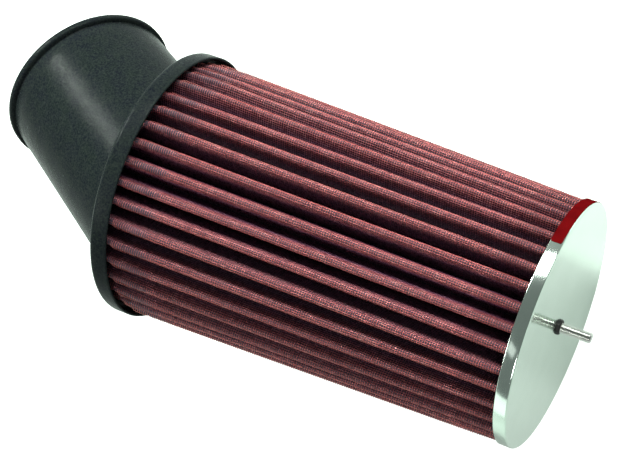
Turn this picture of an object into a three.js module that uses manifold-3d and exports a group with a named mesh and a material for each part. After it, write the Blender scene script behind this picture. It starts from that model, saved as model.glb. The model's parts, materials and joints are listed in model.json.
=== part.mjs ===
// Washable pleated air filter: a tapered ring of pleated cotton gauze between two wire meshes, closed at
// one end by a steel cap with a threaded stud and at the other by a rubber boot with an angled neck.
//
// The filter is drawn in its own frame, in millimetres: the axis is +Z, from the boot's flange (front
// edge at z = 0) to the cap, and the neck leans towards +X. It is then laid on its side, the way it
// rests on a bench: on the flange's rim, the cap's rim and the lip of the neck.
import * as THREE from "three";
import { mergeVertices } from "three/addons/utils/BufferGeometryUtils.js";
import Module from "manifold-3d";

const wasm = await Module();
wasm.setup();

// Driving dimensions
const LENGTH = 194.5; // flange's front edge to the cap's outer face
const CAP_RADIUS = 57.4;
const FLANGE_RADIUS = 65.3;
const FLANGE_WIDTH = 9.4;
const GAP = 0.3; // left between pieces that touch on the real filter

const NECK_ANGLE = THREE.MathUtils.degToRad(31);
const NECK_PIVOT = 12.5; // the neck's axis leaves the filter's axis this far behind z = 0
const NECK_LENGTH = 76.9; // pivot to the open end, along the neck
const NECK_BORE = 38;
const NECK_RADIUS = 42.5; // at the lip
const NECK_DRAFT = 0.02; // radius gained per millimetre towards the flange
const LIP_RADIUS = 44.3;
const LIP_WIDTH = 3.6;
const LIP_GROOVE = { width: 1.1, depth: 0.8 };

const PLEATS = 41;
const PACK_RADIUS = 62.9; // pleat tips at z = 0
const PACK_RADIUS_AT_CAP = 56.6;
const PLEAT_DEPTH = 16.5;
const TIP_RADIUS = 2.25; // outside of the outer tips and inside of the inner folds
const MESH_THICKNESS = 0.35;
const GAUZE_THICKNESS = 0.26;
const GAUZE_PLIES = 4;
const PLY_GAP = 0.04;
const TIP_STEPS = 2; // chords in each tip's or fold's arc

const POCKET_DEPTH = 6; // of the groove in the flange that holds the pack
const POCKET_FLOOR = 2; // least rubber between that groove and the neck's bore
const POCKET_LIP = 1.2; // chamfer round the groove's outer edge, which leaves a dark line round the pack
const CAP_RIM = 6; // height of the cap's rim
const CAP_WALL = 0.6;
const CAP_EDGE = 0.8; // rounding between face and rim
const STUD_RADIUS = 2.5; // M5
const STUD_REACH = 15.5;
const SEAL_RADIUS = 3.5;
const SEAL_HEIGHT = 1.6; // above the cap's face
const ROUND = 72; // facets round the flange and the cap

const packEnd = LENGTH - CAP_WALL - GAP - 4;
const taper = (1 - PACK_RADIUS_AT_CAP / PACK_RADIUS) / (LENGTH - CAP_RIM);

// Materials
const paint = (color, roughness, metalness) =>
  new THREE.MeshStandardMaterial({ color, roughness, metalness });
const rubber = paint(0x2b302e, 0.6, 0);
const redMesh = paint(0x9c4347, 0.45, 0.4);
const cotton = paint(0x7d2a32, 0.95, 0);
const polishedSteel = paint(0xd3d8d4, 0.12, 1);
const zincSteel = paint(0xa9aeb0, 0.3, 1);
const aluminium = paint(0xb4b8ba, 0.4, 1);
const urethane = paint(0x1c1e1e, 0.7, 0);
const labelRed = paint(0x9e1b17, 0.35, 0);

// Solids and meshes
function solidOf(geometry) {
  const plain = geometry.clone();
  plain.deleteAttribute("normal");
  plain.deleteAttribute("uv");
  const merged = mergeVertices(plain, 1e-3);
  return new wasm.Manifold(
    new wasm.Mesh({
      numProp: 3,
      vertProperties: merged.attributes.position.array,
      triVerts: new Uint32Array(merged.index.array),
    }),
  );
}

function geometryOf(solid) {
  const { numProp, numVert, vertProperties, triVerts } = solid.getMesh();
  const position = new Float32Array(numVert * 3);
  for (let i = 0; i < numVert; i++)
    position.set(vertProperties.subarray(i * numProp, i * numProp + 3), i * 3);
  return new THREE.BufferGeometry()
    .setAttribute("position", new THREE.BufferAttribute(position, 3))
    .setIndex(new THREE.BufferAttribute(triVerts, 1));
}

function piece(name, geometry, material) {
  const mesh = new THREE.Mesh(geometry, material);
  mesh.name = name;
  return mesh;
}

// A closed ring, or a solid of revolution where the profile starts and ends on the axis: [radius, z] pairs.
function turned(profile, segments = ROUND) {
  const points = profile.map(([radius, z]) => new THREE.Vector2(radius, z));
  if (profile[0][0] > 0) points.push(points[0].clone());
  return new THREE.LatheGeometry(points, segments).rotateX(Math.PI / 2);
}

// Everything behind the plane z, as a block.
function behind(z) {
  const size = 400;
  return solidOf(
    new THREE.BoxGeometry(size, size, size).translate(0, 0, z - size / 2),
  );
}

// Rubber boot

const pocketInner = PACK_RADIUS - PLEAT_DEPTH - GAP;
const flangeBore = pocketInner - 2.5;

function flangeGeometry() {
  const back = -FLANGE_WIDTH;
  const edge = 1.2;
  const nose = 0.5;
  const pocketOuter = PACK_RADIUS + GAP;
  return turned([
    [flangeBore, back],
    [FLANGE_RADIUS - edge, back],
    [FLANGE_RADIUS, back + edge],
    [FLANGE_RADIUS, -nose],
    [FLANGE_RADIUS - nose, 0],
    [pocketOuter + POCKET_LIP, 0],
    [pocketOuter, -2 * POCKET_LIP],
    [pocketOuter, -POCKET_DEPTH],
    [pocketInner, -POCKET_DEPTH],
    [pocketInner, 0],
    [flangeBore, 0],
  ]);
}

// Shapes on the neck's own axis, which leans from the pivot.
function onNeck(geometry) {
  return geometry.rotateY(Math.PI - NECK_ANGLE).translate(0, 0, -NECK_PIVOT);
}

function neckOutside() {
  const foot = -30;
  const lipStart = NECK_LENGTH - LIP_WIDTH;
  const grooveStart = lipStart - LIP_GROOVE.width;
  const radiusAt = (s) => NECK_RADIUS + (NECK_LENGTH - s) * NECK_DRAFT;
  return onNeck(
    turned([
      [0, foot],
      [radiusAt(foot), foot],
      [radiusAt(grooveStart), grooveStart],
      [NECK_RADIUS - LIP_GROOVE.depth, lipStart - LIP_GROOVE.width / 2],
      [NECK_RADIUS, lipStart],
      [LIP_RADIUS, lipStart + 0.6],
      [LIP_RADIUS, NECK_LENGTH - 0.3],
      [LIP_RADIUS - 0.3, NECK_LENGTH],
      [0, NECK_LENGTH],
    ]),
  );
}

function neckInside() {
  const mouth = 0.8;
  return onNeck(
    turned([
      [0, -40],
      [NECK_BORE, -40],
      [NECK_BORE, NECK_LENGTH - mouth],
      [NECK_BORE + mouth, NECK_LENGTH],
      [NECK_BORE + mouth, NECK_LENGTH + 5],
      [0, NECK_LENGTH + 5],
    ]),
  );
}

function bootGeometry() {
  const backPlate = behind(-POCKET_DEPTH - POCKET_FLOOR);
  const neck = solidOf(neckOutside()).intersect(backPlate);
  const bore = solidOf(neckInside()).intersect(backPlate);
  return geometryOf(solidOf(flangeGeometry()).add(neck).subtract(bore));
}

// Pleated pack

// Where the straight wall between an outer tip and the next inner fold touches their arcs. Both arcs keep
// their centres at every layer of the pack, so the layers lie parallel.
const tipCentre = PACK_RADIUS - TIP_RADIUS;
const foldCentre = PACK_RADIUS - PLEAT_DEPTH + TIP_RADIUS;
const packThickness =
  2 * MESH_THICKNESS + GAUZE_PLIES * GAUZE_THICKNESS + (GAUZE_PLIES + 1) * PLY_GAP;
const halfPitch = Math.PI / PLEATS;
const innerFoldRadius = TIP_RADIUS - packThickness; // outside of the inner folds
const acrossX = foldCentre * Math.cos(halfPitch) - tipCentre;
const acrossY = foldCentre * Math.sin(halfPitch);
const wallNormal =
  Math.atan2(acrossY, acrossX) -
  Math.acos((TIP_RADIUS + innerFoldRadius) / Math.hypot(acrossX, acrossY));

// One layer's outline at z = 0, depth millimetres below the outermost surface.
function pleatOutline(depth) {
  const points = [];
  const arc = (centre, direction, radius, start, end) => {
    for (let i = 0; i <= TIP_STEPS; i++) {
      const angle = direction + start + ((end - start) * i) / TIP_STEPS;
      points.push(
        new THREE.Vector2(
          centre * Math.cos(direction) + radius * Math.cos(angle),
          centre * Math.sin(direction) + radius * Math.sin(angle),
        ),
      );
    }
  };
  const foldTurn = Math.PI - (wallNormal - halfPitch);
  for (let pleat = 0; pleat < PLEATS; pleat++) {
    const tip = 2 * pleat * halfPitch;
    arc(tipCentre, tip, TIP_RADIUS - depth, -wallNormal, wallNormal);
    arc(foldCentre, tip + halfPitch, innerFoldRadius + depth, -foldTurn, foldTurn - 2 * Math.PI);
  }
  return points;
}

// Runs a cross-section the length of the pack, narrowing towards the cap.
function alongPack(shape) {
  const start = GAP - POCKET_DEPTH;
  const depth = packEnd - start;
  const geometry = new THREE.ExtrudeGeometry(shape, { depth, bevelEnabled: false });
  geometry.translate(0, 0, start);
  const position = geometry.getAttribute("position");
  for (let i = 0; i < position.count; i++) {
    const scale = 1 - taper * position.getZ(i);
    position.setXY(i, position.getX(i) * scale, position.getY(i) * scale);
  }
  return geometry;
}

function pleatedLayer(depth, thickness) {
  const shape = new THREE.Shape(pleatOutline(depth));
  shape.holes.push(new THREE.Path(pleatOutline(depth + thickness)));
  return alongPack(shape);
}

function packPieces() {
  const pieces = [];
  let depth = 0;
  const lay = (name, thickness, material) => {
    pieces.push(piece(name, pleatedLayer(depth, thickness), material));
    depth += thickness + PLY_GAP;
  };
  lay("outer_wire_mesh", MESH_THICKNESS, redMesh);
  for (let ply = 1; ply <= GAUZE_PLIES; ply++)
    lay(`gauze_ply_${ply}`, GAUZE_THICKNESS, cotton);
  lay("inner_wire_mesh", MESH_THICKNESS, redMesh);
  return pieces;
}

// The flat strip that joins the pack's two ends, inside the pleat at angle 0.
function seamStripGeometry() {
  const inner = PACK_RADIUS - PLEAT_DEPTH - 0.2;
  const outer = inner + 5;
  const half = 0.7;
  return alongPack(
    new THREE.Shape([
      new THREE.Vector2(inner, -half),
      new THREE.Vector2(outer, -half),
      new THREE.Vector2(outer, half),
      new THREE.Vector2(inner, half),
    ]),
  );
}

// Cap end

function capGeometry() {
  const hole = SEAL_RADIUS + GAP;
  const inside = LENGTH - CAP_WALL;
  const rimStart = LENGTH - CAP_RIM;
  const corner = LENGTH - CAP_EDGE;
  const profile = [
    [hole, inside],
    [CAP_RADIUS - CAP_WALL, inside],
    [CAP_RADIUS - CAP_WALL, rimStart],
    [CAP_RADIUS, rimStart],
  ];
  const steps = 3;
  for (let i = 0; i <= steps; i++) {
    const angle = ((Math.PI / 2) * i) / steps;
    profile.push([
      CAP_RADIUS - CAP_EDGE * (1 - Math.cos(angle)),
      corner + CAP_EDGE * Math.sin(angle),
    ]);
  }
  profile.push([hole, LENGTH]);
  return turned(profile);
}

function pottingGeometry() {
  const top = LENGTH - CAP_WALL - GAP;
  const bottom = packEnd + GAP;
  const inner = 38;
  const outer = CAP_RADIUS - CAP_WALL - GAP;
  return turned([
    [inner, bottom],
    [outer, bottom],
    [outer, top],
    [inner, top],
  ]);
}

const washerTop = LENGTH - CAP_WALL - GAP;
const washerThickness = 1.5;

function washerGeometry() {
  const hole = STUD_RADIUS + GAP;
  const radius = 11;
  return turned(
    [
      [hole, washerTop - washerThickness],
      [radius, washerTop - washerThickness],
      [radius, washerTop],
      [hole, washerTop],
    ],
    36,
  );
}

function studGeometry() {
  const headTop = washerTop - washerThickness - GAP;
  const headHeight = 3.5;
  const headAcrossFlats = 8;
  const tip = LENGTH + STUD_REACH;
  const chamfer = 0.6;
  const shank = turned(
    [
      [0, headTop - 1],
      [STUD_RADIUS, headTop - 1],
      [STUD_RADIUS, tip - chamfer],
      [STUD_RADIUS - chamfer, tip],
      [0, tip],
    ],
    24,
  );
  const cornerRadius = headAcrossFlats / 2 / Math.cos(Math.PI / 6);
  const head = new THREE.CylinderGeometry(cornerRadius, cornerRadius, headHeight, 6)
    .rotateX(Math.PI / 2)
    .translate(0, 0, headTop - headHeight / 2);
  return geometryOf(solidOf(shank).add(solidOf(head)));
}

function sealGeometry() {
  const bore = STUD_RADIUS + GAP;
  const bottom = LENGTH - CAP_WALL;
  const top = LENGTH + SEAL_HEIGHT;
  return turned(
    [
      [bore, bottom],
      [SEAL_RADIUS, bottom],
      [SEAL_RADIUS, top - 0.8],
      [SEAL_RADIUS - 0.4, top],
      [bore, top],
    ],
    24,
  );
}

// A sticker on the cap's rim, on the same facets as the rim.
function labelGeometry() {
  const facet = (2 * Math.PI) / ROUND;
  const first = 3;
  const facets = 15;
  const inner = CAP_RADIUS + 0.06;
  const outer = inner + 0.15;
  const margin = 0.4;
  const corner = (radius, i) => {
    const angle = (first + i) * facet;
    return new THREE.Vector2(radius * Math.cos(angle), radius * Math.sin(angle));
  };
  const points = [];
  for (let i = 0; i <= facets; i++) points.push(corner(outer, i));
  for (let i = facets; i >= 0; i--) points.push(corner(inner, i));
  const depth = CAP_RIM - CAP_EDGE - 2 * margin;
  return new THREE.ExtrudeGeometry(new THREE.Shape(points), {
    depth,
    bevelEnabled: false,
  }).translate(0, 0, LENGTH - CAP_RIM + margin);
}

// Assembly

const filter = new THREE.Group();
filter.add(
  piece("rubber_boot", bootGeometry(), rubber),
  ...packPieces(),
  piece("seam_strip", seamStripGeometry(), aluminium),
  piece("end_cap", capGeometry(), polishedSteel),
  piece("cap_potting", pottingGeometry(), urethane),
  piece("stud_washer", washerGeometry(), zincSteel),
  piece("threaded_stud", studGeometry(), zincSteel),
  piece("stud_seal", sealGeometry(), urethane),
  piece("rim_label", labelGeometry(), labelRed),
);

// Laid on its side, the axis dips to the cap, because the flange is the larger.
const dip = Math.atan((FLANGE_RADIUS - CAP_RADIUS) / LENGTH);

// The roll at which the lip of the neck comes down to the plane that the flange and the cap stand on.
function restingRoll() {
  const lipHeight = (roll) => {
    const up = new THREE.Vector3(
      -Math.cos(dip) * Math.cos(roll),
      Math.cos(dip) * Math.sin(roll),
      -Math.sin(dip),
    );
    const along = new THREE.Vector3(Math.sin(NECK_ANGLE), 0, -Math.cos(NECK_ANGLE));
    const centre = along.clone().multiplyScalar(NECK_LENGTH);
    centre.z -= NECK_PIVOT;
    return up.dot(centre) - LIP_RADIUS * Math.sqrt(1 - up.dot(along) ** 2);
  };
  const standHeight = -FLANGE_RADIUS * Math.cos(dip);
  let low = 0;
  let high = Math.PI / 2;
  for (let i = 0; i < 40; i++) {
    const middle = (low + high) / 2;
    if (lipHeight(middle) < standHeight) low = middle;
    else high = middle;
  }
  return high;
}

filter.rotation.z = restingRoll();

const airFilter = new THREE.Group();
airFilter.add(filter);
airFilter.rotation.y = Math.PI / 2 + dip;

// The origin is the middle of the underside of the box round the filter.
const box = new THREE.Box3().setFromObject(airFilter, true);
const middle = box.getCenter(new THREE.Vector3());
airFilter.position.set(-middle.x, -middle.y, -box.min.z);

export default airFilter;
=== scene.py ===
"""A washable pleated air filter lying on a white table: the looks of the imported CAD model.

Everything is drawn on the filter's own axes, in millimetres: its axis is z, from the front edge of the
rubber flange (z = 0) to the cap, and the neck leans towards x. put() turns that into the frame's metres.
"""
import json
import math

import bpy
import numpy as np
from mathutils import Matrix, Vector


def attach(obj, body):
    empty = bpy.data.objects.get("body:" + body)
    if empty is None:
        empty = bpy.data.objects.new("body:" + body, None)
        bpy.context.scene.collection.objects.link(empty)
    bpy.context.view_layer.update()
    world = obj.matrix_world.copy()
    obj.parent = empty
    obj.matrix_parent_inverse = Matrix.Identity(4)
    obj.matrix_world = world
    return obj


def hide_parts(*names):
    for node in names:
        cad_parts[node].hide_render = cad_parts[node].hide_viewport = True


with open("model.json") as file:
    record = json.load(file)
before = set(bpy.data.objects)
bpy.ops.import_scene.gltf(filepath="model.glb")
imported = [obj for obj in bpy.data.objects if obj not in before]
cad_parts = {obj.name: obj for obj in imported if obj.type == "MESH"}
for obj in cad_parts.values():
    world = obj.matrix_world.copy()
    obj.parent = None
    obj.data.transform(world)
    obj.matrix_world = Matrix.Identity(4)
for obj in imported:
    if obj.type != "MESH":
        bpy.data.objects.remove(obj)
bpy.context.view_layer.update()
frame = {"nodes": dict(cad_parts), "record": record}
rng = np.random.default_rng(7)

MM = 0.001

# The filter's sizes, the same as the CAD model's
LENGTH = 194.5
GAP = 0.3
CAP_RADIUS = 57.4
CAP_RIM = 6.0
CAP_WALL = 0.6
FLANGE_RADIUS = 65.3
FLANGE_WIDTH = 9.4
POCKET_DEPTH = 6.0
NECK_PIVOT = 12.5
NECK_LENGTH = 76.9
NECK_BORE = 38.0
NECK_RADIUS = 42.5
NECK_DRAFT = 0.02
LIP_RADIUS = 44.3
LIP_WIDTH = 3.6
PLEATS = 41
PACK_RADIUS = 62.9
PACK_RADIUS_AT_CAP = 56.6
PLEAT_DEPTH = 16.5
PACK_END = 189.6
GAUZE_PLIES = 4
STUD_RADIUS = 2.5
STUD_REACH = 15.5
SEAL_RADIUS = 3.5
SEAL_HEIGHT = 1.6

# The pack as it looks: a little thinner and more tightly folded than the CAD model's plain solids
TIP_RADIUS = 1.9
PACK_THICKNESS = 1.7
MESH_ENDS = (1.0 - POCKET_DEPTH, PACK_END - 0.5)
CLOTH_ENDS = (0.4 - POCKET_DEPTH, PACK_END - 0.2)

TAPER = (1 - PACK_RADIUS_AT_CAP / PACK_RADIUS) / (LENGTH - CAP_RIM)

# The filter's own axes in the frame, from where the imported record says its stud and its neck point
mounts = {mount["name"]: mount for mount in frame["record"]["mounts"]}
axis = Vector(mounts["stud_tip"]["axis"]).normalized()
neck_way = Vector(mounts["neck_end"]["axis"]).normalized()
lean = (neck_way - axis * neck_way.dot(axis)).normalized()
NECK_ANGLE = math.acos(-neck_way.dot(axis))
ORIGIN = np.array(Vector(mounts["stud_tip"]["pos_m"]) - axis * (LENGTH + STUD_REACH) * MM)
AXES = np.array([lean, axis.cross(lean), axis])


def put(points):
    """Points on the filter's axes, in millimetres, as points of the frame, in metres."""
    return ORIGIN + MM * np.asarray(points, float) @ AXES


# Meshes


def piece(name, points, faces, material, replaces, crease=40, uv=None):
    """A mesh piece that rides on the filter and stands for the CAD nodes that it replaces. Faces may have
    different numbers of corners, edges bent by more than crease degrees are sharp, and uv is one (u, v)
    pair for each point."""
    mesh = bpy.data.meshes.new(name)
    mesh.from_pydata(put(points).tolist(), [], [list(face) for face in faces])
    mesh.polygons.foreach_set("use_smooth", np.ones(len(mesh.polygons), bool))
    if crease:
        mesh.set_sharp_from_angle(angle=math.radians(crease))
    if uv is not None:
        corners = np.empty(len(mesh.loops), np.int32)
        mesh.loops.foreach_get("vertex_index", corners)
        mesh.uv_layers.new(name="flat").data.foreach_set("uv", np.asarray(uv)[corners].ravel())
    mesh.materials.append(material)
    mesh.update()
    obj = bpy.data.objects.new(name, mesh)
    bpy.context.scene.collection.objects.link(obj)
    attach(obj, "root")
    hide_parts(*replaces)
    return obj


def grid_faces(rows, columns, loop_rows=False, loop_columns=False):
    """Quads of a grid of points stored row by row. A loop joins the last row or column to the first."""
    row = np.arange(rows if loop_rows else rows - 1)[:, None]
    column = np.arange(columns if loop_columns else columns - 1)[None, :]
    here = row * columns
    below = (row + 1) % rows * columns
    right = (column + 1) % columns
    quads = np.stack([here + column, here + right, below + right, below + column], -1)
    return quads.reshape(-1, 4)


def bar_faces(rows, sides):
    """The faces of a bar closed at both ends, from a row of points round each of its sections."""
    end = np.arange(sides)
    faces = grid_faces(rows, sides, False, True).tolist()
    return [*faces, end[::-1].tolist(), ((rows - 1) * sides + end).tolist()]


def arc(centre, radius, start, end, steps):
    """[radius, z] points round an arc, with its angles in degrees from the radial direction."""
    angles = np.radians(np.linspace(start, end, steps + 1))
    return np.stack([centre[0] + radius * np.cos(angles), centre[1] + radius * np.sin(angles)], 1)


def turned(profile, segments):
    """A ring swept round the filter's axis from a closed [radius, z] profile: points, faces."""
    profile = np.asarray(profile, float)
    angles = np.linspace(0, 2 * math.pi, segments, endpoint=False)
    radius, z = profile.T
    x = np.outer(np.cos(angles), radius)
    y = np.outer(np.sin(angles), radius)
    points = np.stack([x, y, np.tile(z, (segments, 1))], -1)
    return points.reshape(-1, 3), grid_faces(segments, len(profile), True, True)[:, ::-1]


# Materials


class Nodes:
    """A material's node tree, with short calls for the nodes that the materials below share."""

    # The Mix node has a set of sockets for each kind of value, with the same names: these are its colours
    MIX_FIRST, MIX_SECOND, MIX_RESULT = 6, 7, 2

    def __init__(self, name, metallic=0.0):
        self.material = bpy.data.materials.new(name)
        self.material.use_nodes = True
        self.tree = self.material.node_tree
        self.shader = self.tree.nodes["Principled BSDF"]
        self.shader.inputs["Metallic"].default_value = metallic
        self.normal = None

    def add(self, kind, **settings):
        node = self.tree.nodes.new("ShaderNode" + kind)
        for key, value in settings.items():
            setattr(node, key, value)
        return node

    def link(self, output, target):
        self.tree.links.new(output, target)

    def place(self, output="Object", scale=(1, 1, 1)):
        """Texture coordinates, scaled along each axis."""
        mapping = self.add("Mapping")
        mapping.inputs["Scale"].default_value = scale
        self.link(self.add("TexCoord").outputs[output], mapping.inputs["Vector"])
        return mapping.outputs["Vector"]

    def noise(self, size_mm, detail=3.0, roughness=0.55, stretch=(1, 1, 1)):
        """Noise whose blots are about size_mm across."""
        node = self.add("TexNoise")
        node.inputs["Scale"].default_value = 1 / (size_mm * MM)
        node.inputs["Detail"].default_value = detail
        node.inputs["Roughness"].default_value = roughness
        self.link(self.place(scale=stretch), node.inputs["Vector"])
        return node.outputs["Fac"]

    def ramp(self, value, *stops):
        """A colour ramp: each stop is (position, colour)."""
        node = self.add("ValToRGB")
        elements = node.color_ramp.elements
        while len(elements) < len(stops):
            elements.new(0.5)
        for element, (position, colour) in zip(elements, stops):
            element.position = position
            element.color = (*colour, 1)
        self.link(value, node.inputs["Fac"])
        return node.outputs["Color"]

    def spread(self, value, low, high, from_low=0.3, from_high=0.7):
        """A value stretched to run from low to high as it goes from from_low to from_high."""
        node = self.add("MapRange")
        node.inputs["From Min"].default_value = from_low
        node.inputs["From Max"].default_value = from_high
        node.inputs["To Min"].default_value = low
        node.inputs["To Max"].default_value = high
        self.link(value, node.inputs["Value"])
        return node.outputs["Result"]

    def math(self, operation, first, second):
        node = self.add("Math", operation=operation)
        for value, socket in ((first, node.inputs[0]), (second, node.inputs[1])):
            if isinstance(value, (int, float)):
                socket.default_value = value
            else:
                self.link(value, socket)
        return node.outputs["Value"]

    def mix(self, factor, first, second, blend="MIX"):
        node = self.add("Mix", data_type="RGBA", blend_type=blend)
        if isinstance(factor, (int, float)):
            node.inputs[0].default_value = factor
        else:
            self.link(factor, node.inputs[0])
        for value, socket in ((first, self.MIX_FIRST), (second, self.MIX_SECOND)):
            if isinstance(value, tuple):
                node.inputs[socket].default_value = (*value, 1)
            else:
                self.link(value, node.inputs[socket])
        return node.outputs[self.MIX_RESULT]

    def colour(self, output):
        self.link(output, self.shader.inputs["Base Color"])

    def rough(self, output):
        self.link(output, self.shader.inputs["Roughness"])

    def bump(self, value, depth_mm):
        """Adds a layer of bump over those already there."""
        node = self.add("Bump")
        node.inputs["Distance"].default_value = depth_mm * MM
        self.link(value, node.inputs["Height"])
        if self.normal:
            self.link(self.normal, node.inputs["Normal"])
        self.normal = node.outputs["Normal"]
        self.link(self.normal, self.shader.inputs["Normal"])

    def set(self, **values):
        """Sets the shader's own sockets."""
        for key, value in values.items():
            self.shader.inputs[key.replace("_", " ")].default_value = value


def rubber_material():
    """Moulded dark green-grey rubber with a dusty, slightly uneven satin skin."""
    m = Nodes("boot_rubber")
    blots = m.noise(7, 4)
    dust = m.noise(0.9, 5, 0.75)
    base = m.ramp(blots, (0.3, (0.005, 0.006, 0.009)), (0.7, (0.008, 0.012, 0.009)))
    bloom = m.ramp(dust, (0.4, (0.002, 0.003, 0.006)), (0.75, (0.028, 0.037, 0.029)))
    m.colour(m.mix(0.6, base, bloom))
    m.rough(m.spread(m.noise(3, 5, 0.7), 0.19, 0.29))
    m.bump(m.noise(14, 2), 0.3)
    m.bump(m.noise(0.8, 4, 0.7), 0.09)
    m.set(Specular_IOR_Level=0.015)
    return m.material


def wire_material():
    """Aluminium wire under a thin coat of red epoxy, rubbed paler here and there, with painted shade that
    darkens it towards navy the deeper it lies between the pleats, which is the wires' u coordinate, and
    fine speckles of painted glint."""
    m = Nodes("red_wire", metallic=0.5)
    depth = m.add("SeparateXYZ")
    m.link(m.place("UV"), depth.inputs["Vector"])
    # painted shade: the wires darken towards navy from the pleats' tips to their folds
    painted_valley_shade = m.spread(depth.outputs["X"], 0.0, 0.72, 0.03, 0.36)
    worn = m.noise(4, 5, 0.75)
    coat = m.ramp(
        worn,
        (0.3, (0.52, 0.1, 0.09)),
        (0.55, (0.74, 0.2, 0.17)),
        (0.8, (0.9, 0.44, 0.35)),
    )
    # painted glint: fine speckles of brightness that stand in for highlights on the weave
    glint = m.ramp(m.noise(0.5, 2), (0.35, (0.5, 0.5, 0.58)), (0.65, (1.0, 1.0, 1.0)))
    # the painted shade mixes the coat towards dark navy deep in the pleats
    m.colour(m.mix(painted_valley_shade, m.mix(1.0, coat, glint, "MULTIPLY"), (0.04, 0.045, 0.12)))
    m.rough(m.spread(m.noise(1.5), 0.22, 0.36))
    return m.material


def gauze_material():
    """Cotton gauze soaked in red oil: a plain weave of fine threads, darker where the oil is thicker."""
    threads_per_mm = 1.8
    band_rate = 20  # radians that a wave node of scale 1 turns through in one unit
    m = Nodes("oiled_gauze")
    weave = m.place("UV", (1 / MM, 1 / MM, 1))
    bands = []
    for direction in ("X", "Y"):
        wave = m.add("TexWave", bands_direction=direction, wave_profile="SIN")
        wave.inputs["Scale"].default_value = threads_per_mm * 2 * math.pi / band_rate
        wave.inputs["Distortion"].default_value = 0.6
        wave.inputs["Detail Scale"].default_value = 2.0
        m.link(weave, wave.inputs["Vector"])
        bands.append(wave.outputs["Fac"])
    cloth = m.math("MAXIMUM", *bands)
    oil = m.noise(11, 4, 0.6)
    wet = m.ramp(oil, (0.3, (0.011, 0.008, 0.022)), (0.7, (0.028, 0.009, 0.026)))
    dark = m.mix(1.0, wet, (0.4, 0.4, 0.4), "MULTIPLY")
    m.colour(m.mix(m.spread(cloth, 0, 1, 0.2, 0.9), dark, wet))
    m.rough(m.spread(oil, 0.85, 0.6))
    m.bump(cloth, 0.12)
    m.set(Sheen_Weight=0.15)
    return m.material


def steel_material():
    """Polished plated sheet: a slightly clouded mirror with faint waves and fine polishing lines."""
    m = Nodes("polished_steel", metallic=1.0)
    smear = m.noise(22, 4, 0.6)
    m.colour(m.ramp(smear, (0.3, (0.6, 0.71, 0.63)), (0.7, (0.66, 0.77, 0.69))))
    m.rough(m.spread(m.noise(9, 3, 0.5), 0.11, 0.15))
    m.bump(m.noise(30, 1), 0.05)
    m.bump(m.noise(0.6, 2, stretch=(1, 1, 0.12)), 0.0003)
    return m.material


def hardware_material(name, tone, roughness):
    """Plated or bare metal with a fine grain and slight staining."""
    m = Nodes(name, metallic=1.0)
    stain = m.noise(2.5, 5, 0.65)
    m.colour(m.ramp(stain, (0.3, tuple(0.8 * c for c in tone)), (0.7, tone)))
    m.rough(m.spread(m.noise(0.5), roughness - 0.07, roughness + 0.1))
    m.bump(m.noise(0.25, 2), 0.01)
    return m.material


def urethane_material():
    """Cast black urethane: smooth and faintly rippled."""
    m = Nodes("cast_urethane")
    m.colour(m.ramp(m.noise(4, 4), (0.3, (0.006, 0.006, 0.006)), (0.7, (0.016, 0.015, 0.014))))
    m.rough(m.spread(m.noise(2), 0.35, 0.6))
    m.bump(m.noise(1.2, 3), 0.08)
    m.set(Specular_IOR_Level=0.2)
    return m.material


def label_material():
    """Matt red vinyl with a slight orange peel."""
    m = Nodes("red_vinyl")
    m.colour(m.ramp(m.noise(7, 3), (0.3, (0.055, 0.0015, 0.002)), (0.7, (0.085, 0.002, 0.0025))))
    m.rough(m.spread(m.noise(1.5), 0.32, 0.46))
    m.bump(m.noise(0.9, 2), 0.008)
    m.set(Specular_IOR_Level=0.0)
    return m.material


RUBBER = rubber_material()
WIRE = wire_material()
GAUZE = gauze_material()
STEEL = steel_material()
ZINC = hardware_material("zinc_plate", (0.66, 0.67, 0.64), 0.17)
ALUMINIUM = hardware_material("bare_aluminium", (0.78, 0.79, 0.8), 0.35)
URETHANE = urethane_material()
VINYL = label_material()


# Rubber boot


def straight(start, end, steps):
    """Points on the straight way from start, itself left out, to end."""
    return [start + (end - start) * t for t in np.linspace(0, 1, steps + 1)[1:]]


def bend(start, corner, end, steps):
    """Points on the curve from start, itself left out, to end, that turns inside the corner."""
    return [
        (1 - t) ** 2 * start + 2 * t * (1 - t) * corner + t**2 * end
        for t in np.linspace(0, 1, steps + 1)[1:]
    ]


def neck_wall(along):
    """The neck's outside radius, that far along it."""
    return NECK_RADIUS + (NECK_LENGTH - along) * NECK_DRAFT


def lip_profile():
    """(along the neck, radius) from the bore's mouth, over the lip's bead, to the groove under it."""
    start = NECK_LENGTH - LIP_WIDTH
    return [
        (NECK_LENGTH - 0.8, NECK_BORE),
        (NECK_LENGTH - 0.25, NECK_BORE + 0.25),
        (NECK_LENGTH, NECK_BORE + 0.9),
        (NECK_LENGTH, LIP_RADIUS - 1.0),
        (NECK_LENGTH - 0.3, LIP_RADIUS - 0.3),
        (NECK_LENGTH - 1.0, LIP_RADIUS),
        (start + 0.8, LIP_RADIUS),
        (start + 0.25, LIP_RADIUS - 0.3),
        (start, LIP_RADIUS - 1.0),
        (start - 0.15, NECK_RADIUS - 0.6),
        (start - 0.55, NECK_RADIUS - 0.8),
        (start - 0.95, NECK_RADIUS - 0.6),
        (start - 1.15, NECK_RADIUS - 0.15),
        (start - 1.6, neck_wall(start)),
    ]


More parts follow.
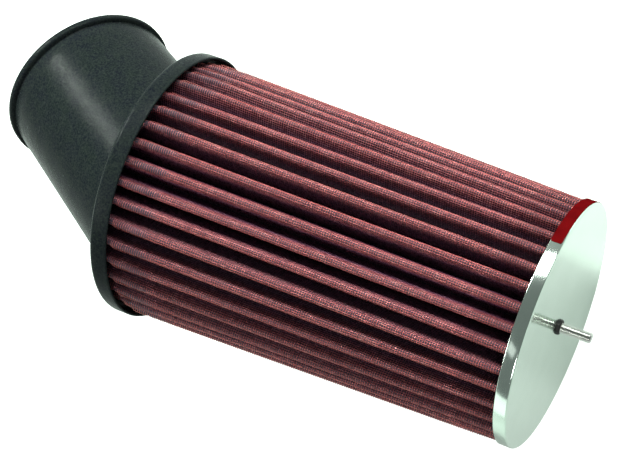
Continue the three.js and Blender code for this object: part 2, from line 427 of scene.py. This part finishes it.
def flange_profile():
    """(radius, z) from the flange's back, round its rim and the pocket for the pack, to its bore."""
    back_corner = 2.6
    front_corner = 0.6
    groove = PACK_RADIUS + GAP
    inner = PACK_RADIUS - PLEAT_DEPTH - GAP
    bore = inner - 2.5
    return [
        *arc((FLANGE_RADIUS - back_corner, back_corner - FLANGE_WIDTH), back_corner, -90, 0, 7),
        *arc((FLANGE_RADIUS - front_corner, -front_corner), front_corner, 0, 90, 4),
        (groove + 1.3, 0),
        (groove + 0.9, -0.3),
        (groove, -2.4),
        (groove, -POCKET_DEPTH),
        (inner, -POCKET_DEPTH),
        (inner, -0.5),
        (inner - 0.5, 0),
        (bore + 0.5, 0),
        (bore, -0.5),
        (bore, -4),
    ]


def boot_ring(angle):
    """The boot's skin cut at one angle round the neck: from the lip, down the outside, round the flange
    and back up the bore. The neck's surface meets the flange's back in an ellipse, and inside a funnel
    leads from the flange's round bore to the neck's."""
    cos_lean, sin_lean = math.cos(NECK_ANGLE), math.sin(NECK_ANGLE)
    way = np.array([sin_lean, 0, -cos_lean])
    out = np.array([cos_lean * math.cos(angle), math.sin(angle), sin_lean * math.cos(angle)])
    pivot = np.array([0, 0, -NECK_PIVOT])

    def on_neck(along, radius):
        return pivot + along * way + radius * out

    def reach(radius, z):
        """How far along the neck a line at that radius meets a plane across the filter."""
        return (pivot[2] + radius * out[2] - z) / cos_lean

    root = reach(neck_wall(0), -FLANGE_WIDTH)
    corner = on_neck(root, neck_wall(root))
    level = np.hypot(corner[0], corner[1])
    radial = np.array([corner[0], corner[1], 0]) / level

    def on_flange(radius, z):
        return radial * radius + np.array([0, 0, z])

    fillet = 3.5
    foot = on_neck(root + fillet, neck_wall(root))
    beyond = on_flange(level + fillet, -FLANGE_WIDTH)
    throat = on_neck(reach(NECK_BORE, -12), NECK_BORE)
    mouth = on_neck(NECK_LENGTH - 1.4, NECK_BORE)

    points = [on_neck(along, radius) for along, radius in lip_profile()]
    points += straight(points[-1], foot, 11)
    points += bend(foot, corner, beyond, 5)
    points += [on_flange(radius, z) for radius, z in flange_profile()]
    points += straight(points[-1], throat, 4)
    points += straight(throat, mouth, 11)
    return points


def rubber_boot():
    """The flange that holds the pack, and the angled neck with its beaded lip, moulded in one."""
    segments = 224
    angles = np.linspace(0, 2 * math.pi, segments, endpoint=False)
    rings = np.array([boot_ring(angle) for angle in angles])
    points = rings.reshape(-1, 3)
    faces = grid_faces(segments, rings.shape[1], True, True)[:, ::-1]
    piece("moulded_boot", points, faces, RUBBER, ["rubber_boot"], crease=50)


# Pleated pack


def pleat_outline(depth, tip_steps, fold_steps):
    """The pack's cross-section at z = 0, depth millimetres below its outermost surface: for each point,
    its distance from the axis, its angle, and its distance along the cloth. A pleat is an arc at its tip
    and an arc at its fold, joined by straight walls that touch both."""
    half_pitch = math.pi / PLEATS
    tip_centre = PACK_RADIUS - TIP_RADIUS
    fold_centre = PACK_RADIUS - PLEAT_DEPTH + TIP_RADIUS
    fold_radius = TIP_RADIUS - PACK_THICKNESS + depth
    tip_radius = TIP_RADIUS - depth
    cos_half, sin_half = math.cos(half_pitch), math.sin(half_pitch)
    across = (fold_centre * cos_half - tip_centre, fold_centre * sin_half)
    wrap = math.acos((tip_radius + fold_radius) / math.hypot(*across))
    turn = math.atan2(across[1], across[0]) - wrap
    fold_turn = math.pi - (turn - half_pitch)
    pleat = []
    for way in np.linspace(-turn, turn, tip_steps + 1):
        pleat.append((tip_centre + tip_radius * math.cos(way), tip_radius * math.sin(way)))
    for way in np.linspace(-fold_turn, fold_turn - 2 * math.pi, fold_steps + 1):
        x = fold_centre + fold_radius * math.cos(way)
        y = fold_radius * math.sin(way)
        pleat.append((x * cos_half - y * sin_half, x * sin_half + y * cos_half))
    x, y = np.array(pleat).T
    radius = np.tile(np.hypot(x, y), PLEATS)
    angle = (np.arctan2(y, x) + 2 * half_pitch * np.arange(PLEATS)[:, None]).ravel()
    points = np.stack([radius * np.cos(angle), radius * np.sin(angle)], 1)
    steps = np.linalg.norm(np.roll(points, -1, axis=0) - points, axis=1)
    return radius, angle, np.concatenate([[0], np.cumsum(steps)])


# Hand-folded pleats are not quite even. They crowd together on the side that the neck leans to and stand
# wider apart on the other, and both sides twist a little along the filter. At STEADY_AT they do neither.
CROWDING = math.radians(7.7)
TWIST = math.radians(4.2)
STEADY_AT = math.radians(90)
SHIFT = math.radians(-2.3)  # the whole ring's turn
# The flange and the cap hold the pleats' ends level, and the flange presses their tips down a little.
HELD_LENGTH = 12
TUCK = 1.3
TUCK_LENGTH = 3.2


def uneven(spread):
    """A small random amount for each pleat."""
    return rng.normal(0, spread, PLEATS)


pleat_place = np.radians(uneven(0.35))
pleat_lean = np.radians(uneven(0.45))
pleat_bow = np.radians(uneven(0.3))
pleat_height = uneven(0.22)


def pack_surface(depth, along, tip_steps, fold_steps=2):
    """Points of the pleated surface that lies depth under the outermost one, a ring for each z in along,
    and each point's distance along the cloth."""
    radius, angle, cloth = pleat_outline(depth, tip_steps, fold_steps)
    pleat = angle * PLEATS / (2 * math.pi)
    knots = np.arange(PLEATS)

    def per_pleat(values):
        return np.interp(pleat, knots, values, period=PLEATS)

    z = np.asarray(along, float)[:, None]
    share = z / LENGTH
    free = np.clip(z / HELD_LENGTH, 0, 1) * np.clip((PACK_END - z) / HELD_LENGTH, 0, 1)
    turned_by = (
        SHIFT
        + CROWDING * (1 - np.cos(angle - STEADY_AT))
        + TWIST * np.sin(angle - STEADY_AT) ** 2 * (share - 0.5)
        + per_pleat(pleat_place)
        + per_pleat(pleat_lean) * (2 * share - 1)
        + per_pleat(pleat_bow) * np.sin(math.pi * share)
    )
    outer_half = radius > PACK_RADIUS - PLEAT_DEPTH / 2
    tuck = TUCK * np.clip(1 - z / TUCK_LENGTH, 0, 1) ** 2
    lift = (per_pleat(pleat_height) * free - tuck) * outer_half
    reach = (radius + lift) * (1 - TAPER * z)
    place = angle + turned_by
    return np.stack([reach * np.cos(place), reach * np.sin(place), z + 0 * reach], -1), cloth


def ring_normals(points):
    """Outward directions in the plane of each ring."""
    ahead = np.roll(points, -1, axis=1) - np.roll(points, 1, axis=1)
    normal = np.stack([ahead[..., 1], -ahead[..., 0], 0 * ahead[..., 0]], -1)
    return normal / np.linalg.norm(normal, axis=-1, keepdims=True)


AHEAD = np.array([0.0, 0.0, 1.0])
WIRE_PITCH = 1.12
WIRE_RADIUS = 0.135
WIRE_SIDES = 3
WIRE_CENTRE = 0.12  # how deep the round wires lie under the pack's skin
WIRE_LAP = 0.16  # how much nearer to the gauze the long wires lie
ROUND_WIRE_PIECES = 2


def sides_round(first, second):
    """The corners of a wire's section, as offsets along two directions."""
    angles = 2 * math.pi * np.arange(WIRE_SIDES)[:, None] / WIRE_SIDES
    return WIRE_RADIUS * (np.cos(angles) * first[..., None, :] + np.sin(angles) * second[..., None, :])


def round_wires(depth, tip_steps, part):
    """One piece's share of the wires that run round the pack, in and out of the pleats: points, faces."""
    along = np.arange(*MESH_ENDS, WIRE_PITCH)[part::ROUND_WIRE_PIECES]
    centre, _ = pack_surface(depth, along, tip_steps)
    rings, count = centre.shape[:2]
    tube = centre[:, :, None, :] + sides_round(ring_normals(centre), AHEAD)
    one = grid_faces(count, WIRE_SIDES, True, True)[:, ::-1]
    starts = np.arange(rings) * count * WIRE_SIDES
    faces = (one[None] + starts[:, None, None]).reshape(-1, 4)
    return tube.reshape(-1, 3), faces


def long_wires(depth, tip_steps):
    """The wires that run along the pack, closed at their ends: points, faces."""
    along = np.linspace(*MESH_ENDS, 8)
    rings, cloth = pack_surface(depth, along, tip_steps)
    normals = ring_normals(rings)
    wires = int(cloth[-1] / WIRE_PITCH)
    spots = (np.arange(wires) + 0.5) * cloth[-1] / wires
    before = np.searchsorted(cloth, spots, side="right") - 1
    part = ((spots - cloth[before]) / (cloth[before + 1] - cloth[before]))[None, :, None]
    after = (before + 1) % rings.shape[1]
    centre = rings[:, before] * (1 - part) + rings[:, after] * part
    out = normals[:, before] * (1 - part) + normals[:, after] * part
    across = np.cross(AHEAD, out)
    tube = (centre[:, :, None, :] + sides_round(out, across)).transpose(1, 0, 2, 3)
    one = grid_faces(len(along), WIRE_SIDES, False, True)
    starts = np.arange(wires) * len(along) * WIRE_SIDES
    faces = (one[None] + starts[:, None, None]).reshape(-1, 4).tolist()
    end = np.arange(WIRE_SIDES)
    faces += (starts[:, None] + end[::-1]).tolist()
    faces += (starts[:, None] + (len(along) - 1) * WIRE_SIDES + end).tolist()
    return tube.reshape(-1, 3), faces


def depth_in_pleats(points):
    """How deep each point lies in the pleats, from 0 at their tips to 1 at their folds, and how far along
    the filter, as uv pairs."""
    reach = np.hypot(points[:, 0], points[:, 1]) / (1 - TAPER * points[:, 2])
    return np.stack([(PACK_RADIUS - reach) / PLEAT_DEPTH, points[:, 2] / LENGTH], 1)


def wire_piece(name, wires, node):
    """Some of a mesh's wires, given as points and faces, as one piece."""
    points, faces = wires
    piece(name, points, faces, WIRE, [node], crease=0, uv=depth_in_pleats(points))


def wire_meshes():
    """The two meshes, each one's round wires dealt into pieces small enough for the export."""
    for side, node, depth, lap, tip_steps in (
        ("outer", "outer_wire_mesh", WIRE_CENTRE, WIRE_LAP, 4),
        ("inner", "inner_wire_mesh", PACK_THICKNESS - WIRE_CENTRE, -WIRE_LAP, 2),
    ):
        for part in range(ROUND_WIRE_PIECES):
            wires = round_wires(depth, tip_steps, part)
            wire_piece(f"{side}_mesh_round_wires_{part + 1}", wires, node)
        wire_piece(f"{side}_mesh_long_wires", long_wires(depth + lap, tip_steps), node)


def gauze_sheets():
    """The plies of cotton, each one strip folded into the pleats and joined into a ring."""
    first_depth = 0.42
    ply_spacing = 0.26
    along = np.linspace(*CLOTH_ENDS, 12)
    for ply in range(GAUZE_PLIES):
        depth = first_depth + ply_spacing * ply
        points, cloth = pack_surface(depth, along, tip_steps=6, fold_steps=3)
        rows, columns = points.shape[:2]
        closed = np.concatenate([points, points[:, :1]], axis=1)
        uv = np.stack(np.broadcast_arrays(cloth[None, :] * MM, along[:, None] * MM), -1)
        sheet = piece(
            f"gauze_sheet_{ply + 1}",
            closed.reshape(-1, 3),
            grid_faces(rows, columns + 1),
            GAUZE,
            [f"gauze_ply_{ply + 1}"],
            uv=uv.reshape(-1, 2),
        )


def seam_clip():
    """The crimped aluminium channel that joins the pack's two ends, inside its first pleat."""
    along = np.linspace(*CLOTH_ENDS, 20)
    pack, _ = pack_surface(PACK_THICKNESS, along, tip_steps=2)
    first_tip = pack[:, 1]
    outward = first_tip * np.array([1, 1, 0])
    outward /= np.linalg.norm(outward, axis=1, keepdims=True)
    aside = np.cross(AHEAD, outward)
    foot = (PACK_RADIUS - PLEAT_DEPTH - 0.2) * (1 - TAPER * along[:, None])
    inside = [(0.4, 0.15), (0.6, 0.3), (5.0, 0.3)]
    outside = [(5.0, 0.6), (0.5, 0.6), (0.15, 0.5), (0.0, 0.2)]
    side = inside + outside
    section = side + [(up, -over) for up, over in reversed(side)]
    points = np.stack([outward * (foot + up) + aside * over for up, over in section], 1)
    points[..., 2] = along[:, None]
    points = points.reshape(-1, 3)
    faces = bar_faces(len(along), len(section))
    piece("seam_clip", points, faces, ALUMINIUM, ["seam_strip"], crease=50)


# Cap end


def end_cap():
    """A stamped steel cup with a rolled edge, a mirror-polished face and a hole for the stud."""
    hole = STUD_RADIUS + 0.3
    corner = 0.9
    face_rings = (54, 48, 38, 26, 14, 7)
    inside = LENGTH - CAP_WALL
    start = LENGTH - CAP_RIM
    profile = [
        (hole, inside),
        (CAP_RADIUS - CAP_WALL - 0.5, inside),
        (CAP_RADIUS - CAP_WALL, inside - 0.5),
        (CAP_RADIUS - CAP_WALL, start + 0.3),
        *arc((CAP_RADIUS - CAP_WALL / 2, start + 0.3), CAP_WALL / 2, 180, 360, 6)[1:],
        (CAP_RADIUS, LENGTH - corner - 1.5),
        *arc((CAP_RADIUS - corner, LENGTH - corner), corner, 0, 90, 8),
        *[(radius, LENGTH) for radius in face_rings],
        (hole, LENGTH),
    ]
    points, faces = turned(profile, 288)
    piece("polished_cap", points, faces, STEEL, ["end_cap"], crease=50)


def stud():
    """An M5 stud: a rolled thread with a bevelled end, and the hexagon head inside the cap."""
    pitch = 0.8
    thread_depth = 0.45
    flank_slope = 2.6
    crest = 0.15
    bevel = 0.8
    end_radius = STUD_RADIUS - thread_depth - 0.1
    head_radius = 4.6
    head_low, head_high = LENGTH - 6.2, LENGTH - 2.7
    start = LENGTH - 3.0
    tip = LENGTH + STUD_REACH
    rows = 260
    segments = 40
    z = np.linspace(start, tip, rows)[:, None]
    turn = np.linspace(0, 2 * math.pi, segments, endpoint=False)
    phase = (z / pitch - turn / (2 * math.pi)) % 1
    groove = np.clip(np.abs(phase - 0.5) * flank_slope - crest, 0, 1)
    cone = end_radius + (tip - z) * (STUD_RADIUS - end_radius) / bevel
    radius = np.minimum(STUD_RADIUS - thread_depth * groove, cone)
    rod = np.stack([radius * np.cos(turn), radius * np.sin(turn), z + 0 * radius], -1).reshape(-1, 3)
    head = [
        (head_radius * math.cos(corner), head_radius * math.sin(corner), height)
        for height in (head_low, head_high)
        for corner in np.radians(np.arange(6) * 60)
    ]
    faces = bar_faces(rows, segments)
    faces += [[len(rod) + i for i in face] for face in bar_faces(2, 6)]
    points = np.concatenate([rod, head])
    piece("m5_stud", points, faces, ZINC, ["threaded_stud"], crease=45)


def seal():
    """The bead of black sealant squeezed out round the stud's root."""
    bore = STUD_RADIUS + 0.1
    top = LENGTH + SEAL_HEIGHT
    profile = [
        (bore, LENGTH - 0.4),
        (bore + 0.15, LENGTH - 0.4),
        (bore + 0.15, LENGTH + 0.02),
        (SEAL_RADIUS, LENGTH + 0.02),
        (SEAL_RADIUS + 0.05, LENGTH + 0.35),
        (SEAL_RADIUS - 0.1, LENGTH + 0.9),
        (SEAL_RADIUS - 0.4, top - 0.25),
        (SEAL_RADIUS - 0.7, top - 0.05),
        (bore, top - 0.1),
    ]
    points, faces = turned(profile, 48)
    angle = np.arctan2(points[:, 1], points[:, 0])
    lumps = 1 + 0.04 * np.sin(3 * angle + 1) + 0.03 * np.sin(7 * angle)
    outer = np.hypot(points[:, 0], points[:, 1]) > bore + 0.2
    points[outer, :2] *= lumps[outer, None]
    piece("sealant_bead", points, faces, URETHANE, ["stud_seal"], crease=60)


def label():
    """A plain red sticker round part of the cap's rim, with rounded corners."""
    start, end = math.radians(15), math.radians(90)
    low, high = LENGTH - CAP_RIM + 0.05, LENGTH - 0.9
    inner, outer = CAP_RADIUS + 0.04, CAP_RADIUS + 0.16
    corner = 0.4
    angles = np.linspace(start, end, 91)
    from_end = np.minimum(angles - start, end - angles) * CAP_RADIUS
    into_corner = np.clip(corner - from_end, 0, corner)
    inset = corner - np.sqrt(corner**2 - into_corner**2)
    points = [
        (radius * math.cos(angle), radius * math.sin(angle), z)
        for angle, cut in zip(angles, inset)
        for radius, z in ((inner, low + cut), (inner, high - cut), (outer, high - cut), (outer, low + cut))
    ]
    faces = bar_faces(len(angles), 4)
    piece("rim_sticker", points, faces, VINYL, ["rim_label"], crease=30)


def hidden_hardware():
    """CAD nodes that keep their shape and only take a better material."""
    for node, material in (("stud_washer", ZINC), ("cap_potting", URETHANE)):
        obj = frame["nodes"][node]
        for material_slot in obj.material_slots:
            material_slot.material = material


# Camera, floor and light


def camera():
    """The photograph's view, fitted to the filter's outlines: from 66 degrees up on the cap's side, with
    the axis falling to the right of the picture."""
    eye, target = put([[-420.9, 613.3, 346.6], [1.34, 0.92, 69.64]])
    slope = math.radians(20.06)
    forward = Vector(target - eye).normalized()
    level = (axis - forward * axis.dot(forward)).normalized()
    right = (level * math.cos(slope) - forward.cross(level) * math.sin(slope)).normalized()
    up = right.cross(forward)
    data = bpy.data.cameras.new("camera")
    data.sensor_width = 36
    data.lens = 98.96
    data.clip_end = 50
    obj = bpy.data.objects.new("camera", data)
    rotation = Matrix((right, up, -forward)).transposed()
    obj.matrix_world = Matrix.Translation(Vector(eye)) @ rotation.to_4x4()
    bpy.context.scene.collection.objects.link(obj)
    bpy.context.scene.camera = obj


def floor():
    """A pale table. A glow that only the camera sees makes it white without lighting the filter."""
    size = 4.0
    glow = 0.7
    corners = [(-size, -size, 0), (size, -size, 0), (size, size, 0), (-size, size, 0)]
    mesh = bpy.data.meshes.new("table")
    mesh.from_pydata(corners, [], [(0, 1, 2, 3)])
    m = Nodes("pale_table")
    m.colour(m.ramp(m.noise(60, 3), (0.3, (0.50, 0.56, 0.52)), (0.7, (0.54, 0.60, 0.56))))
    m.set(Roughness=0.6, Emission_Color=(1, 1, 1, 1), Specular_IOR_Level=0.2)
    seen = m.math("MULTIPLY", m.add("LightPath").outputs["Is Camera Ray"], glow)
    m.link(seen, m.shader.inputs["Emission Strength"])
    mesh.materials.append(m.material)
    obj = bpy.data.objects.new("table", mesh)
    bpy.context.scene.collection.objects.link(obj)


LAMP_DISTANCE = 1.3
LAMP_TARGET = Vector((0, 0, 0.06))


def softbox(name, bearing, height, size, power, tint=(1, 1, 1)):
    """A rectangular lamp that faces the filter, at a bearing and height in degrees. Its size is in metres
    and its power in watts."""
    data = bpy.data.lights.new(name, "AREA")
    data.shape = "RECTANGLE"
    data.size, data.size_y = size
    data.energy = power
    data.color = tint
    obj = bpy.data.objects.new(name, data)
    turn, rise = math.radians(bearing), math.radians(height)
    way = Vector((math.cos(rise) * math.cos(turn), math.cos(rise) * math.sin(turn), math.sin(rise)))
    place = Matrix.Translation(LAMP_TARGET + way * LAMP_DISTANCE)
    obj.matrix_world = place @ (-way).to_track_quat("-Z", "Y").to_matrix().to_4x4()
    obj.visible_camera = False
    bpy.context.scene.collection.objects.link(obj)


def studio():
    """Soft lamps all round, in a grey room that is paler low down."""
    softbox("key", 88, 36, (1.2, 0.4), 34)
    softbox("side", 151, 27, (0.25, 0.16), 30, tint=(0.92, 1.0, 0.94))
    softbox("fill", -60, 45, (0.4, 0.3), 6)
    softbox("back", -142, 45, (0.5, 0.4), 7)
    softbox("top", -112, 63, (0.35, 0.2), 0.17)
    softbox("low", -103, 7, (2.2, 0.55), 4.8, tint=(0.9, 1.0, 0.94))
    world = bpy.data.worlds.new("studio")
    world.use_nodes = True
    nodes, links = world.node_tree.nodes, world.node_tree.links
    height = nodes.new("ShaderNodeSeparateXYZ")
    links.new(nodes.new("ShaderNodeTexCoord").outputs["Generated"], height.inputs["Vector"])
    ramp = nodes.new("ShaderNodeValToRGB")
    links.new(height.outputs["Z"], ramp.inputs["Fac"])
    low, high = ramp.color_ramp.elements
    low.position = 0.12
    low.color = (0.42, 0.46, 0.44, 1)
    high.position = 0.38
    high.color = (0.19, 0.21, 0.205, 1)
    links.new(ramp.outputs["Color"], nodes["Background"].inputs["Color"])
    bpy.context.scene.world = world
    bpy.context.scene.view_settings.view_transform = "Standard"


rubber_boot()
wire_meshes()
gauze_sheets()
seam_clip()
end_cap()
stud()
seal()
label()
hidden_hardware()
camera()
floor()
studio()
